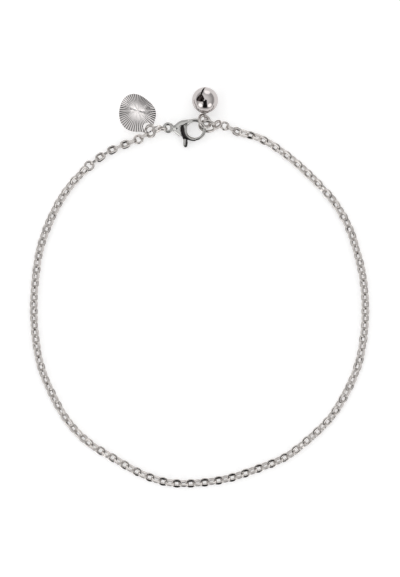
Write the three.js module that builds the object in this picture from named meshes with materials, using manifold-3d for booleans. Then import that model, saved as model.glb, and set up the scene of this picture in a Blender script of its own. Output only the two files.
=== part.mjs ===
// A payal anklet of polished steel: a fine cable chain closed by a lobster clasp,
// with a pierced sunray charm on one side of the clasp and a jingle bell on the other.
// Millimetres, +Z up. The anklet lies on the surface z = 0, laid out in a loop round the origin.
import * as THREE from "three";
import Module from "manifold-3d";
import { mergeVertices } from "three/addons/utils/BufferGeometryUtils.js";

const wasm = await Module();
wasm.setup();

// Chain links: outer length and width, wire thickness, and the play where two wires hang together
const LINK_LENGTH = 2.36;
const LINK_WIDTH = 1.78;
const LINK_WIRE = 0.35;
const LINK_PLAY = 0.05;
const LINK_SIDES = 10;
const LINK_WIRE_SIDES = 5;
const SHORT_CHAIN_LINKS = 7;

// Round rings: outer diameter and wire
const SIZING_RING = 2.5;
const SIZING_WIRE = 0.42;
const TAIL_RING = 2.4;
const TAIL_WIRE = 0.4;
const CLASP_LINK_LENGTH = 2.4;
const CLASP_LINK_WIDTH = 2.1;
const CLASP_LINK_WIRE = 0.4;
const SPACER_RING = 2.5;
const SPACER_WIRE = 0.4;
const CHARM_RING = 3.3;
const CHARM_WIRE = 0.5;
const END_RING = 4.3;
const END_WIRE = 0.5;
const BELL_RING = 3.8;
const BELL_WIRE = 0.5;
const RING_SIDES = 16;
const RING_WIRE_SIDES = 6;

// Fine chain: the diameter of the round space that its links fill
const CHAIN_DIAMETER = 1.78;
const CHAIN_STEP = 3.2;
const CHAIN_SIDES = 8;
const FACE_GAP = 0.3;

// Lobster clasp
const CLASP_THICKNESS = 2.4;
const EYE_TO_HOOK = 6.2;
const EYE_DIAMETER = 2.6;
const EYE_HOLE = 1.35;
const EYE_THICKNESS = 0.7;
const HOOK_OPENING = 3.6;
const HOOK_WIRE = 0.7;
const HOOK_THICKNESS = 1.25;
const LEVER_THICKNESS = 0.95;
const LEVER_GAP = 0.16;
const LEVER_LIP = 0.9;
const TIP_GAP = 0.12;
const PIVOT_PIN = 0.6;
const PIVOT_GAP = 0.12;
const HUB_DIAMETER = 1.3;
const CLASP_EDGE = 0.2;

// Sunray charm
const CHARM_RADIUS = 4.3;
const CHARM_THICKNESS = 0.5;
const CHARM_FLUTES = 52;
const FLUTE_DEPTH = 0.2;
const CHARM_HOLE = 2.1;
const CHARM_HOLE_OUT = 4.48;
const CHARM_RIM = 0.35;

// Jingle bell with a soldered bail and a loose pellet
const BELL_DIAMETER = 6.08;
const BELL_WALL = 0.35;
const SLIT_WIDTH = 0.45;
const SLIT_HOLE_WIDTH = 2.0;
const SLIT_HOLE_HEIGHT = 1.45;
const BAIL_LENGTH = 1.75;
const BAIL_WIDTH = 1.5;
const BAIL_WIRE = 0.36;
const PELLET_DIAMETER = 2.3;
const PELLET_GAP = 0.1;

const TURN = 2 * Math.PI;
const QUARTER = Math.PI / 2;
const CURVE_SEGMENTS = 8;
const POST_SIDES = 16;
const BALL_SIDES = { outer: [28, 18], inner: [20, 14], pellet: [12, 8] };
const MERGE_DISTANCE = 1e-4;

// The centre line of the laid-out anklet, a few points chosen by hand, anticlockwise from the hook
const ROUTE = [
  [-1.1, 36.4],
  [-7.4, 36.9],
  [-9.2, 36.7],
  [-11.7, 35.9],
  [-14.5, 34.2],
  [-20.8, 31.5],
  [-26.2, 27.5],
  [-31.2, 21.7],
  [-34.5, 15.5],
  [-36.8, 8.9],
  [-37.8, 2.2],
  [-38.2, -4.5],
  [-37.8, -11.2],
  [-36.6, -17.8],
  [-34.0, -24.2],
  [-30.6, -30.2],
  [-25.8, -35.3],
  [-19.9, -38.9],
  [-13.8, -42.4],
  [-7.1, -44.6],
  [0, -44.6],
  [6.9, -43.5],
  [13.4, -41.3],
  [19.7, -38.7],
  [25.1, -34.5],
  [30.0, -29.7],
  [33.6, -23.9],
  [36.3, -17.7],
  [37.6, -11.1],
  [38.0, -4.5],
  [37.5, 2.1],
  [36.0, 8.6],
  [33.8, 15.0],
  [30.1, 20.8],
  [25.4, 25.8],
  [20.2, 30.4],
  [14.1, 34.4],
  [8.3, 36.1],
  [5.6, 37.3],
  [2.0, 36.9],
];

const radians = THREE.MathUtils.degToRad;
const polished = (color, roughness) => new THREE.MeshStandardMaterial({ color, roughness, metalness: 1 });
const CHAIN_STEEL = polished(0xd9d6d2, 0.16);
const CLASP_STEEL = polished(0xcfcdca, 0.1);
const CHARM_STEEL = polished(0xdcd8d6, 0.22);
const BELL_STEEL = polished(0xd8d2cf, 0.12);

// A geometry as a solid that can be joined and cut
function toSolid(geometry) {
  const bare = geometry.index ? geometry.toNonIndexed() : geometry.clone();
  bare.deleteAttribute("normal");
  bare.deleteAttribute("uv");
  const merged = mergeVertices(bare, MERGE_DISTANCE);
  const vertProperties = merged.attributes.position.array;
  const triVerts = new Uint32Array(merged.index.array);
  return new wasm.Manifold(new wasm.Mesh({ numProp: 3, vertProperties, triVerts }));
}

function toGeometry(solid) {
  const { vertProperties, triVerts } = solid.getMesh();
  const geometry = new THREE.BufferGeometry();
  geometry.setAttribute("position", new THREE.BufferAttribute(vertProperties, 3));
  geometry.setIndex(new THREE.BufferAttribute(triVerts, 1));
  geometry.computeVertexNormals();
  return geometry;
}

// The unit direction of a heading in plan and a climb above it, in degrees
function direction(heading, climb) {
  const level = Math.cos(radians(climb));
  const east = Math.cos(radians(heading)) * level;
  const north = Math.sin(radians(heading)) * level;
  return new THREE.Vector3(east, north, Math.sin(radians(climb)));
}

// Lays a piece with its length along heading and climb, rolled about that length
function lay(mesh, centre, heading, climb, roll) {
  const forward = direction(heading, climb);
  const level = direction(heading + 90, 0);
  const upright = forward.clone().cross(level);
  const side = level.multiplyScalar(Math.cos(radians(roll)));
  side.addScaledVector(upright, Math.sin(radians(roll)));
  const normal = forward.clone().cross(side);
  mesh.quaternion.setFromRotationMatrix(new THREE.Matrix4().makeBasis(forward, side, normal));
  mesh.position.copy(centre);
  return mesh;
}

// A closed wire loop: a torus whose two halves are drawn apart along X when it is longer than wide
function loopGeometry({ length, width, wire, sides, wireSides }) {
  const geometry = new THREE.TorusGeometry((width - wire) / 2, wire / 2, wireSides, sides);
  const stretch = (length - width) / 2;
  const position = geometry.attributes.position;
  for (let i = 0; i < position.count; i += 1) {
    position.setX(i, position.getX(i) + Math.sign(position.getX(i)) * stretch);
  }
  return geometry;
}

function roundRing(diameter, wire) {
  return { length: diameter, width: diameter, wire, sides: RING_SIDES, wireSides: RING_WIRE_SIDES };
}

function ovalLink(length, width, wire) {
  return { length, width, wire, sides: LINK_SIDES, wireSides: LINK_WIRE_SIDES };
}

const CHAIN_LINK = ovalLink(LINK_LENGTH, LINK_WIDTH, LINK_WIRE);
const CLASP_LINK = ovalLink(CLASP_LINK_LENGTH, CLASP_LINK_WIDTH, CLASP_LINK_WIRE);
const CHARM_LOOP = roundRing(CHARM_RING, CHARM_WIRE);
const SPACER_LOOP = roundRing(SPACER_RING, SPACER_WIRE);
const SIZING_LOOP = roundRing(SIZING_RING, SIZING_WIRE);
const TAIL_LOOP = roundRing(TAIL_RING, TAIL_WIRE);
const END_LOOP = roundRing(END_RING, END_WIRE);
const BELL_LOOP = roundRing(BELL_RING, BELL_WIRE);
// Half the length of a loop's hole: how far from its centre the wire of a neighbour can lie
const reach = (size) => size.length / 2 - size.wire;

// One loop of wire as a named mesh, kept with its size and centre for the next one to hang on
function wireLoop(name, size, centre, heading, climb, roll, material) {
  const mesh = lay(new THREE.Mesh(loopGeometry(size), material), centre, heading, climb, roll);
  mesh.name = name;
  return { mesh, size, centre: centre.clone() };
}

// The centre of a loop that hangs on another one, towards a bearing and climb, less their play
function hungCentre(previous, size, bearing, climb, play) {
  const step = reach(previous.size) + reach(size) - play;
  return previous.centre.clone().addScaledVector(direction(bearing, climb), step);
}

const route = new THREE.CatmullRomCurve3(ROUTE.map(([x, y]) => new THREE.Vector3(x, y, 0)), true);
const ROUTE_SAMPLES = 4000;
route.arcLengthDivisions = ROUTE_SAMPLES;
const ROUTE_LENGTH = route.getLength();
const CHAIN_HEIGHT = CHAIN_DIAMETER / 2;

// The distance along the route of the point on it that lies nearest to a place
function routeDistance(place) {
  let best = 0;
  let least = Infinity;
  for (let i = 0; i < ROUTE_SAMPLES; i += 1) {
    const point = route.getPointAt(i / ROUTE_SAMPLES);
    const gap = Math.hypot(point.x - place.x, point.y - place.y);
    if (gap < least) {
      least = gap;
      best = (i / ROUTE_SAMPLES) * ROUTE_LENGTH;
    }
  }
  return best;
}

const onRoute = (distance) => THREE.MathUtils.euclideanModulo(distance / ROUTE_LENGTH, 1);

// Loops laid one after another along the route, sinking from the height of the first to the chain's.
// Each row gives a loop's name, size, roll and play; sense is 1 anticlockwise and -1 clockwise.
function walk(first, rows, sense, drop) {
  const placed = [];
  let previous = first;
  let distance = routeDistance(first.centre);
  for (const { name, size, roll, play } of rows) {
    distance += sense * (reach(previous.size) + reach(size) - play);
    const centre = route.getPointAt(onRoute(distance));
    centre.z = Math.max(CHAIN_HEIGHT, previous.centre.z - drop);
    const run = centre.clone().sub(previous.centre);
    const heading = THREE.MathUtils.radToDeg(Math.atan2(run.y, run.x));
    const climb = THREE.MathUtils.radToDeg(Math.atan2(run.z, Math.hypot(run.x, run.y)));
    const loop = wireLoop(name, size, centre, heading, climb, roll, CHAIN_STEEL);
    placed.push(loop);
    previous = loop;
  }
  return { placed, distance };
}

// The lobster clasp in its own frame: the middle of the hook's opening is the origin,
// the eye lies on -X, the back of the clasp is +Y and the lever's tab points to -Y.
const OPENING_RADIUS = HOOK_OPENING / 2;
const HOOK_RADIUS = OPENING_RADIUS + HOOK_WIRE / 2;
const HOOK_START = 132;
const HOOK_END = -83;
const HOOK_STEPS = 14;
const WIRE_SECTION_SIDES = 10;
const EYE_WIRE_SIDES = 8;
const PIVOT = { along: 0.39, across: 0.6 };
// The outline of the clasp's body: along is a share of the way from the hook to the eye,
// across a share of the opening's radius
const BODY_OUTLINE = [
  { along: 0.83, across: 0.3 },
  { along: 0.76, across: 0.5 },
  { along: 0.67, across: 0.82 },
  { along: 0.53, across: 1.1 },
  { along: 0.36, across: 1.24 },
  { along: 0.2, across: 1.31 },
  { along: 0.12, across: 1.14 },
  { along: 0.17, across: 0.83 },
  { along: 0.235, across: 0.62 },
  { along: 0.32, across: 0.28 },
  { along: 0.44, across: 0.17 },
  { along: 0.5, across: -0.2 },
  { along: 0.49, across: -0.75 },
  { along: 0.44, across: -1.3 },
  { along: 0.5, across: -1.2 },
  { along: 0.58, across: -1.02 },
  { along: 0.74, across: -0.6 },
  { along: 0.83, across: -0.34 },
];
// The outer edge of the lever, from its hub down to the tab and on to the tip
const LEVER_EDGE = [
  { along: 0.5, across: 0.35 },
  { along: 0.51, across: -0.3 },
  { along: 0.485, across: -0.9 },
  { along: 0.43, across: -1.36 },
  { along: 0.405, across: -1.75 },
  { along: 0.36, across: -2.08 },
  { along: 0.28, across: -2.12 },
  { along: 0.235, across: -1.85 },
  { along: 0.23, across: -1.5 },
];
// The room for the lever inside the body, outside its hub, in the same shares
const LEVER_ROOM = [
  { along: 0.7, across: 0 },
  { along: 0.56, across: PIVOT.across },
  PIVOT,
  { along: 0.235, across: 0.62 },
  { along: 0, across: 0 },
  { along: 0.1, across: -2 },
  { along: 0.7, across: -2 },
];
// Where the lever's arcs end, in degrees: the inner edge round the opening, the hub, the outer edge
const LEVER_ARCS = { inner: -192, hub: 11.46, outer: -112 };
const clasped = ({ along, across }) => new THREE.Vector2(-along * EYE_TO_HOOK, across * OPENING_RADIUS);

class HookArc extends THREE.Curve {
  getPoint(t, target = new THREE.Vector3()) {
    const angle = radians(THREE.MathUtils.lerp(HOOK_START, HOOK_END, t));
    return target.set(HOOK_RADIUS * Math.cos(angle), HOOK_RADIUS * Math.sin(angle), 0);
  }
}

// An outline as a plate of a given thickness, halfway about Z = 0, with its edges eased
function plate(shape, thickness, edge) {
  const geometry = new THREE.ExtrudeGeometry(shape, {
    depth: thickness - 2 * edge,
    bevelThickness: edge,
    bevelSize: edge,
    bevelOffset: -edge,
    bevelSegments: 1,
    bevelEnabled: edge > 0,
    curveSegments: CURVE_SEGMENTS,
    steps: 1,
  });
  return geometry.translate(0, 0, edge - thickness / 2);
}

function ovalSection(thick, wide, sides) {
  const corners = [];
  for (let i = 0; i < sides; i += 1) {
    const angle = ((i + 0.5) * TURN) / sides;
    corners.push(new THREE.Vector2((thick / 2) * Math.cos(angle), (wide / 2) * Math.sin(angle)));
  }
  return new THREE.Shape(corners);
}

// A cylinder along Z between two heights
function postSolid(radius, low, high, x, y) {
  const post = new THREE.CylinderGeometry(radius, radius, high - low, POST_SIDES).rotateX(QUARTER);
  return toSolid(post.translate(x, y, (low + high) / 2));
}

// The room in the middle of the body for the lever: about its hub, and from its outer edge,
// at rest and swung back, out past the tab
function leverRoom(pivot) {
  const room = new THREE.Shape(LEVER_ROOM.map(clasped));
  const depth = LEVER_THICKNESS + 2 * LEVER_GAP;
  const hub = HUB_DIAMETER / 2 + LEVER_GAP;
  return toSolid(plate(room, depth, 0)).add(postSolid(hub, -depth / 2, depth / 2, pivot.x, pivot.y));
}

function claspBody() {
  const pivot = clasped(PIVOT);
  const hook = new THREE.ExtrudeGeometry(ovalSection(HOOK_THICKNESS, HOOK_WIRE, WIRE_SECTION_SIDES), {
    extrudePath: new HookArc(),
    steps: HOOK_STEPS,
  });
  const eyeWire = (EYE_DIAMETER - EYE_HOLE) / 2;
  const eye = new THREE.TorusGeometry((EYE_DIAMETER - eyeWire) / 2, eyeWire / 2, EYE_WIRE_SIDES, RING_SIDES);
  eye.scale(1, 1, EYE_THICKNESS / eyeWire).translate(-EYE_TO_HOOK, 0, 0);
  const eyeBore = postSolid(EYE_HOLE / 2, -CLASP_THICKNESS, CLASP_THICKNESS, -EYE_TO_HOOK, 0);
  const outline = new THREE.Shape(BODY_OUTLINE.map(clasped));
  const plates = toSolid(plate(outline, CLASP_THICKNESS, CLASP_EDGE)).subtract(leverRoom(pivot));
  const pinHalf = CLASP_THICKNESS / 2 - CLASP_EDGE / 2;
  const pin = postSolid(PIVOT_PIN / 2, -pinHalf, pinHalf, pivot.x, pivot.y);
  return plates.subtract(eyeBore).add(toSolid(eye)).add(toSolid(hook)).add(pin);
}

// The lever: a hub on the pin, an arm that closes the hook's mouth, and the thumb tab
function claspLever() {
  const pivot = clasped(PIVOT);
  const hub = HUB_DIAMETER / 2;
  const tipAngle = HOOK_END - THREE.MathUtils.radToDeg(TIP_GAP / OPENING_RADIUS);
  const outer = OPENING_RADIUS + LEVER_LIP;
  const shape = new THREE.Shape();
  const hubStart = radians(LEVER_ARCS.hub);
  shape.absarc(0, 0, OPENING_RADIUS, radians(tipAngle), radians(LEVER_ARCS.inner), true);
  shape.lineTo(pivot.x + hub * Math.cos(hubStart), pivot.y + hub * Math.sin(hubStart));
  shape.absarc(pivot.x, pivot.y, hub, hubStart, 2 * QUARTER, false);
  shape.splineThru(LEVER_EDGE.map(clasped));
  shape.absarc(0, 0, outer, radians(LEVER_ARCS.outer), radians(tipAngle), false);
  const bore = new THREE.Path();
  bore.absarc(pivot.x, pivot.y, PIVOT_PIN / 2 + PIVOT_GAP, 0, TURN, true);
  shape.holes.push(bore);
  return plate(shape, LEVER_THICKNESS, 0);
}

// The sunray charm: a pebble-shaped disc whose upper face is pressed into rays. In its own frame
// the rays meet at the origin, on the underside, and the hole lies on -X.
// The outline is the charm's radius waved once, twice and three times round, with an ear at the hole.
const OUTLINE_WAVES = [
  { times: 1, share: 0.133, turn: 128 },
  { times: 2, share: 0.036, turn: -5 },
  { times: 3, share: 0.049, turn: -7 },
];
const EAR_SHARPNESS = 24;
// Rings of the upper face: share of the radius, share of the flute's depth
const CHARM_RINGS = [
  { out: 1, depth: 1 },
  { out: 0.7, depth: 0.9 },
  { out: 0.42, depth: 0.35 },
];

function wavedShare(angle) {
  let share = 1;
  for (const wave of OUTLINE_WAVES) {
    share += wave.share * Math.cos(wave.times * (angle - radians(wave.turn)));
  }
  return share;
}

function outlineShare(angle) {
  const ear = (CHARM_HOLE_OUT + CHARM_HOLE / 2 + CHARM_RIM) / CHARM_RADIUS - wavedShare(2 * QUARTER);
  return wavedShare(angle) + ear * Math.max(0, -Math.cos(angle)) ** EAR_SHARPNESS;
}

function charmGeometry() {
  const profile = [new THREE.Vector2(0, 0), new THREE.Vector2(CHARM_RADIUS, 0)];
  for (const { out } of CHARM_RINGS) {
    profile.push(new THREE.Vector2(CHARM_RADIUS * out, CHARM_THICKNESS));
  }
  profile.push(new THREE.Vector2(0, CHARM_THICKNESS));
  const rays = 2 * CHARM_FLUTES;
  const geometry = new THREE.LatheGeometry(profile, rays).rotateX(QUARTER);
  const position = geometry.attributes.position;
  for (let i = 0; i < position.count; i += 1) {
    const x = position.getX(i);
    const y = position.getY(i);
    const z = Math.abs(position.getZ(i));
    const angle = Math.atan2(y, x);
    const out = Math.hypot(x, y) / CHARM_RADIUS;
    const ring = CHARM_RINGS.find((row) => Math.abs(row.out - out) < 1e-3);
    const ray = Math.round((angle * rays) / TURN);
    const groove = ring && z > CHARM_THICKNESS / 2 && ray % 2 !== 0 ? FLUTE_DEPTH * ring.depth : 0;
    const share = outlineShare(angle);
    position.setXYZ(i, x * share, y * share, z - groove);
  }
  const hole = postSolid(CHARM_HOLE / 2, -CHARM_THICKNESS, 2 * CHARM_THICKNESS, -CHARM_HOLE_OUT, 0);
  return toGeometry(toSolid(geometry).subtract(hole));
}

// The bell in its own frame: the bail is at -X, and the slit runs over +X between two holes.
// Its shell rises until the bell stands on the surface, whatever the height of its bail.
const SLIT_REACH = 66;
const BELL_ROLL = -22;
const BAIL_TURN = -64.5;
const BELL_RADIUS = BELL_DIAMETER / 2;
const BAIL_OUT = BELL_RADIUS + BAIL_LENGTH / 2 - BELL_WALL;

// The rounded triangle at each end of the slit, its wide side towards the bail: up is a share of its
// height from that side, across a share of half its width
const SLIT_HOLE_CORNERS = [
  { up: 0, across: -0.75 },
  { up: 0.35, across: -1 },
  { up: 1, across: -0.3 },
  { up: 1, across: 0.3 },
  { up: 0.35, across: 1 },
  { up: 0, across: 0.75 },
];
const CUT_PAST = 1.2;
const BAIL_SIDES = 14;
function slitHoleShape(middle) {
  const low = middle - SLIT_HOLE_HEIGHT / 2;
  return new THREE.Shape(SLIT_HOLE_CORNERS.map(({ up, across }) => {
    return new THREE.Vector2(low + up * SLIT_HOLE_HEIGHT, (across * SLIT_HOLE_WIDTH) / 2);
  }));
}

function bellGeometry() {
  const shell = toSolid(new THREE.SphereGeometry(BELL_RADIUS, ...BALL_SIDES.outer));
  const hollow = toSolid(new THREE.SphereGeometry(BELL_RADIUS - BELL_WALL, ...BALL_SIDES.inner));
  const slitEnd = BELL_RADIUS * Math.cos(radians(SLIT_REACH));
  const slitTop = CUT_PAST * BELL_RADIUS;
  const slit = new THREE.BoxGeometry(slitTop - slitEnd, SLIT_WIDTH, 2 * slitTop);
  slit.translate((slitTop + slitEnd) / 2, 0, 0);
  const holes = plate(slitHoleShape(slitEnd), 2 * slitTop, 0);
  const oval = { length: BAIL_LENGTH, width: BAIL_WIDTH, wire: BAIL_WIRE };
  const bail = loopGeometry({ ...oval, sides: BAIL_SIDES, wireSides: RING_WIRE_SIDES });
  bail.rotateX(radians(BAIL_TURN)).translate(-BAIL_OUT, 0, 0);
  const cut = shell.subtract(hollow).subtract(toSolid(slit)).subtract(toSolid(holes));
  return toGeometry(cut.add(toSolid(bail).subtract(hollow)));
}

// The fine chain as the round space that its links fill, along the route between two distances
class RouteStretch extends THREE.Curve {
  constructor(first, last) {
    super();
    this.first = first;
    this.last = last;
  }

  getPoint(t, target = new THREE.Vector3()) {
    const place = route.getPointAt(onRoute(THREE.MathUtils.lerp(this.first, this.last, t)));
    return target.set(place.x, place.y, CHAIN_HEIGHT);
  }
}

function fineChain(first, last) {
  const corner = CHAIN_DIAMETER / Math.cos(QUARTER / (CHAIN_SIDES / 2));
  return new THREE.ExtrudeGeometry(ovalSection(corner, corner, CHAIN_SIDES), {
    extrudePath: new RouteStretch(first, last),
    steps: Math.round((last - first) / CHAIN_STEP),
  });
}

// Assembly: the clasp first, then what hangs on its eye and on its hook, then the two walks
const anklet = new THREE.Group();
const HOOK_PLACE = new THREE.Vector3(-1.13, 36.43, CLASP_THICKNESS / 2);
const CLASP_HEADING = -4.4;

function named(name, geometry, material) {
  const mesh = new THREE.Mesh(geometry, material);
  mesh.name = name;
  return mesh;
}

const clasp = new THREE.Group();
clasp.position.copy(HOOK_PLACE);
clasp.rotation.z = radians(CLASP_HEADING);
clasp.add(named("clasp_body", toGeometry(claspBody()), CLASP_STEEL));
clasp.add(named("clasp_lever", claspLever(), CLASP_STEEL));
anklet.add(clasp);

// The clasp's eye and the hook's opening as loops that others hang on
const eyeSize = { length: EYE_DIAMETER, wire: (EYE_DIAMETER - EYE_HOLE) / 2 };
const eyeCentre = HOOK_PLACE.clone().addScaledVector(direction(CLASP_HEADING + 180, 0), EYE_TO_HOOK);
const eye = { size: eyeSize, centre: eyeCentre };
const hook = { size: { length: HOOK_OPENING + 2 * HOOK_WIRE, wire: HOOK_WIRE }, centre: HOOK_PLACE };

// Each row hangs a loop on an earlier one: bearing and climb of the step between their centres
// and its play, then the loop's own heading, climb and roll
const HUNG_LEFT = [
  { name: "clasp_link", size: CLASP_LINK, step: [187.1, 6.4, 0.171], turn: [178.6, 8.2, 70.4] },
  { name: "charm_side_link", size: CHAIN_LINK, step: [190.3, 31.4, 0.174], turn: [204.2, 11.2, -57.3] },
  { name: "charm_ring", size: CHARM_LOOP, step: [194.8, -19.1, 0.261], turn: [-80.4, 0, 33.3] },
  { name: "chain_side_link", size: CHAIN_LINK, step: [217.5, -20.3, 0.133], turn: [210.6, 0, 92.3] },
  { name: "spacer_ring", size: SPACER_LOOP, step: [210, 1.8, 0.074], turn: [205, 0, 25.4] },
];
const HUNG_RIGHT = [
  { name: "end_ring", size: END_LOOP, step: [15.9, 10.1, 0.48], turn: [8.7, 20.3, 49] },
  { name: "end_link", size: CHAIN_LINK, step: [7.5, 10.2, 0.133], turn: [35.5, -5.4, -210.6] },
];
const BELL_HUNG = { name: "bell_ring", size: BELL_LOOP, step: [119.3, 36, 1.501], turn: [-88.1, 28, -36.4] };

function hang(previous, { name, size, step, turn }) {
  const loop = wireLoop(name, size, hungCentre(previous, size, ...step), ...turn, CHAIN_STEEL);
  anklet.add(loop.mesh);
  return loop;
}

const left = [eye];
for (const row of HUNG_LEFT) left.push(hang(left.at(-1), row));
const right = [hook];
for (const row of HUNG_RIGHT) right.push(hang(right.at(-1), row));
const bellRing = hang(right[1], BELL_HUNG);

// The two walks end against the fine chain. The drop is how far each loop may sink below the last.
const LEFT_DROP = 0.05;
const RIGHT_DROP = 0.45;
const LEFT_ROLLS = [100, 8, 92, 0, 90, 0, 90];
const leftRows = LEFT_ROLLS.slice(0, SHORT_CHAIN_LINKS).map((roll, i) => {
  return { name: `chain_link_0${i + 1}`, size: CHAIN_LINK, roll, play: LINK_PLAY };
});
leftRows.push({ name: "sizing_ring", size: SIZING_LOOP, roll: 0, play: LINK_PLAY });
const rightRows = [
  { name: "tail_ring", size: TAIL_LOOP, roll: -20, play: -0.03 },
  { name: "tail_link_1", size: CHAIN_LINK, roll: 80, play: 0.12 },
  { name: "tail_link_2", size: CHAIN_LINK, roll: -12, play: 0.08 },
];
const leftWalk = walk(left.at(-1), leftRows, 1, LEFT_DROP);
const rightWalk = walk(right.at(-1), rightRows, -1, RIGHT_DROP);
for (const { mesh } of [...leftWalk.placed, ...rightWalk.placed]) anklet.add(mesh);
const chainFirst = leftWalk.distance + SIZING_RING / 2 + FACE_GAP;
const chainLast = rightWalk.distance - LINK_LENGTH / 2 - FACE_GAP;
anklet.add(named("fine_chain", fineChain(chainFirst, chainLast), CHAIN_STEEL));

// The charm hangs on its ring by its hole, leans on it and comes down until its edge rests
const CHARM_HEADING = 121.8;
const CHARM_CLIMB = -6.9;
const CHARM_ROLL = 8.6;
const CHARM_HANGS = { bearing: 126.4, climb: -2.3, play: 0.084 };
const charmRing = left[3];
const charmReach = reach(charmRing.size) - CHARM_HANGS.play;
const charmStep = direction(CHARM_HANGS.bearing, CHARM_HANGS.climb).multiplyScalar(charmReach);
const charm = named("sun_charm", charmGeometry(), CHARM_STEEL);
lay(charm, charmRing.centre.clone().add(charmStep), CHARM_HEADING, CHARM_CLIMB, CHARM_ROLL);
charm.position.addScaledVector(direction(CHARM_HEADING, CHARM_CLIMB), CHARM_HOLE_OUT);
charm.position.z -= new THREE.Box3().setFromObject(charm, true).min.z;
anklet.add(charm);

// The bell hangs on its ring by the bail and stands on the surface beside it
const BELL_HEADING = 90;
const BAIL_HANGS = [86.9, -30.2, 0.278];
const bailCentre = hungCentre(bellRing, { length: BAIL_LENGTH, wire: BAIL_WIRE }, ...BAIL_HANGS);
const bellClimb = THREE.MathUtils.radToDeg(Math.asin((BELL_RADIUS - bailCentre.z) / BAIL_OUT));
const bell = named("bell", bellGeometry(), BELL_STEEL);
lay(bell, bailCentre, BELL_HEADING, bellClimb, BELL_ROLL);
bell.position.addScaledVector(direction(BELL_HEADING, bellClimb), BAIL_OUT);
anklet.add(bell);
const pelletBall = new THREE.SphereGeometry(PELLET_DIAMETER / 2, ...BALL_SIDES.pellet);
const pellet = named("bell_pellet", pelletBall, BELL_STEEL);
pellet.rotation.x = QUARTER;
pellet.position.copy(bell.position);
pellet.position.z = BELL_WALL + PELLET_GAP + PELLET_DIAMETER / 2;
anklet.add(pellet);

export default anklet;
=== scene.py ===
"""A payal anklet of polished steel: the fine chain, clasp, rings, sunray charm and jingle bell."""

import math

import bpy
import numpy as np
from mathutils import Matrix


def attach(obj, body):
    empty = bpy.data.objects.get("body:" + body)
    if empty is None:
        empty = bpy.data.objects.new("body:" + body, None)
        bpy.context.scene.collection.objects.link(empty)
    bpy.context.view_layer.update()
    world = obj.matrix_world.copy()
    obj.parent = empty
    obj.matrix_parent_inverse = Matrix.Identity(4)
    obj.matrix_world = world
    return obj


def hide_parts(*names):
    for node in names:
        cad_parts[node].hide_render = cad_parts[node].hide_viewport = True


bl_info = {
    "name": "Payal Anklet",
    "version": (1, 0, 0),
    "blender": (4, 5, 0),
    "location": "View3D > Sidebar > Anklet",
    "description": "Builds a laid-out payal anklet with its clasp, sunray charm and jingle bell",
    "category": "Add Mesh",
}

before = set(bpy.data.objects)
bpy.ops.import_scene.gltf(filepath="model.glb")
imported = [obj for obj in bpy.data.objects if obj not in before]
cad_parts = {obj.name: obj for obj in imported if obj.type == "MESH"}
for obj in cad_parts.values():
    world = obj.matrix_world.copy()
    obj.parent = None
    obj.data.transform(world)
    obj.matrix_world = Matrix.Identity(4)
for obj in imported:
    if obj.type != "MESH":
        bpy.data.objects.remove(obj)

MM = 0.001
TURN = 2 * math.pi
QUARTER = math.pi / 2
UP = np.array([0, 0, 1.0])
BODY = "anklet"
LEVER_BODY = "lever"

# The camera's view: the length that a pixel covers on the table and the picture's height in pixels,
# the camera's height and clipping distances in metres, and its sensor in millimetres
PIXEL = 0.23 * MM
IMAGE_HEIGHT = 577
CAMERA_HEIGHT = 0.62
CLIP_START = 0.05
CLIP_END = 10
SENSOR = 36.0

# Roughness of each finish
POLISH = {"chain": 0.08, "ring": 0.14, "clasp": 0.07, "charm": 0.16, "bell": 0.07}

# Rings of round wire, each a node of its own, with outer length, width and wire in millimetres
RINGS = [
    {"node": "clasp_link", "length": 2.4, "width": 2.1, "wire": 0.7},
    {"node": "charm_ring", "length": 3.3, "width": 3.3, "wire": 0.72},
    {"node": "spacer_ring", "length": 2.5, "width": 2.5, "wire": 0.6},
    {"node": "sizing_ring", "length": 2.5, "width": 2.5, "wire": 0.6},
    {"node": "tail_ring", "length": 2.4, "width": 2.4, "wire": 0.6},
    {"node": "end_ring", "length": 4.3, "width": 4.3, "wire": 0.72},
    {"node": "bell_ring", "length": 3.8, "width": 3.8, "wire": 0.84},
]
SHORT_CHAIN_LINKS = 7
SINGLE_LINKS = ["charm_side_link", "chain_side_link", "tail_link_2", "tail_link_1", "end_link"]
SINGLE_LINKS += [f"chain_link_0{number}" for number in range(1, SHORT_CHAIN_LINKS + 1)]

# Steps that bend each half of a ring, a separate link and a fine link, and points round a ring's wire
RING_BEND_STEPS = 28
LINK_BEND_STEPS = 20
FINE_BEND_STEPS = 5
RING_AROUND = 18

# Section of a link's wire as shares of its half width and half height, from the outer edge inwards
LINK_SECTION = {
    "out": [1.0, 1.0, 0.76, -0.35, -1.0, -1.0, -0.35, 0.76],
    "up": [-0.8, 0.8, 1.0, 1.0, 0.4, -0.4, -1.0, -1.0],
}
# How the fine chain lies at plan angles round the loop, in degrees: every other link is rolled by the
# lean plus the spread, and those between by the lean less the spread, all give or take the wander
CHAIN_LIE = {
    "angle": [130, 150, 233, 237, 308, 335, 385, 400],
    "lean": [4, 0, 0, -20, -20, 0, 0, 8],
    "spread": [35, 37, 37, 32, 32, 36, 37, 34],
    "wander": [5, 5, 5, 1.5, 1.5, 5, 5, 5],
}
WANDER_SEED = 11
# Where plan angles round the loop start, in degrees from +X
LOOP_START = 90
FULL = 360


# Mesh helpers

# How close two points are to be welded, how many decimals tell a node's points apart, and how
# strongly each smoothing round evens out a casting
WELD_REACH = 0.0001 * MM
POINT_DECIMALS = 7
SMOOTHING = 0.5


def rotation(axis, angle):
    """The matrix that turns by an angle about a unit axis (Rodrigues' formula)."""
    x, y, z = axis
    cross = np.array([[0, -z, y], [z, 0, -x], [-y, x, 0]])
    return np.eye(3) + math.sin(angle) * cross + (1 - math.cos(angle)) * cross @ cross


def column(table, name):
    """One column of a table as an array."""
    return np.array(table[name], float)


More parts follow.
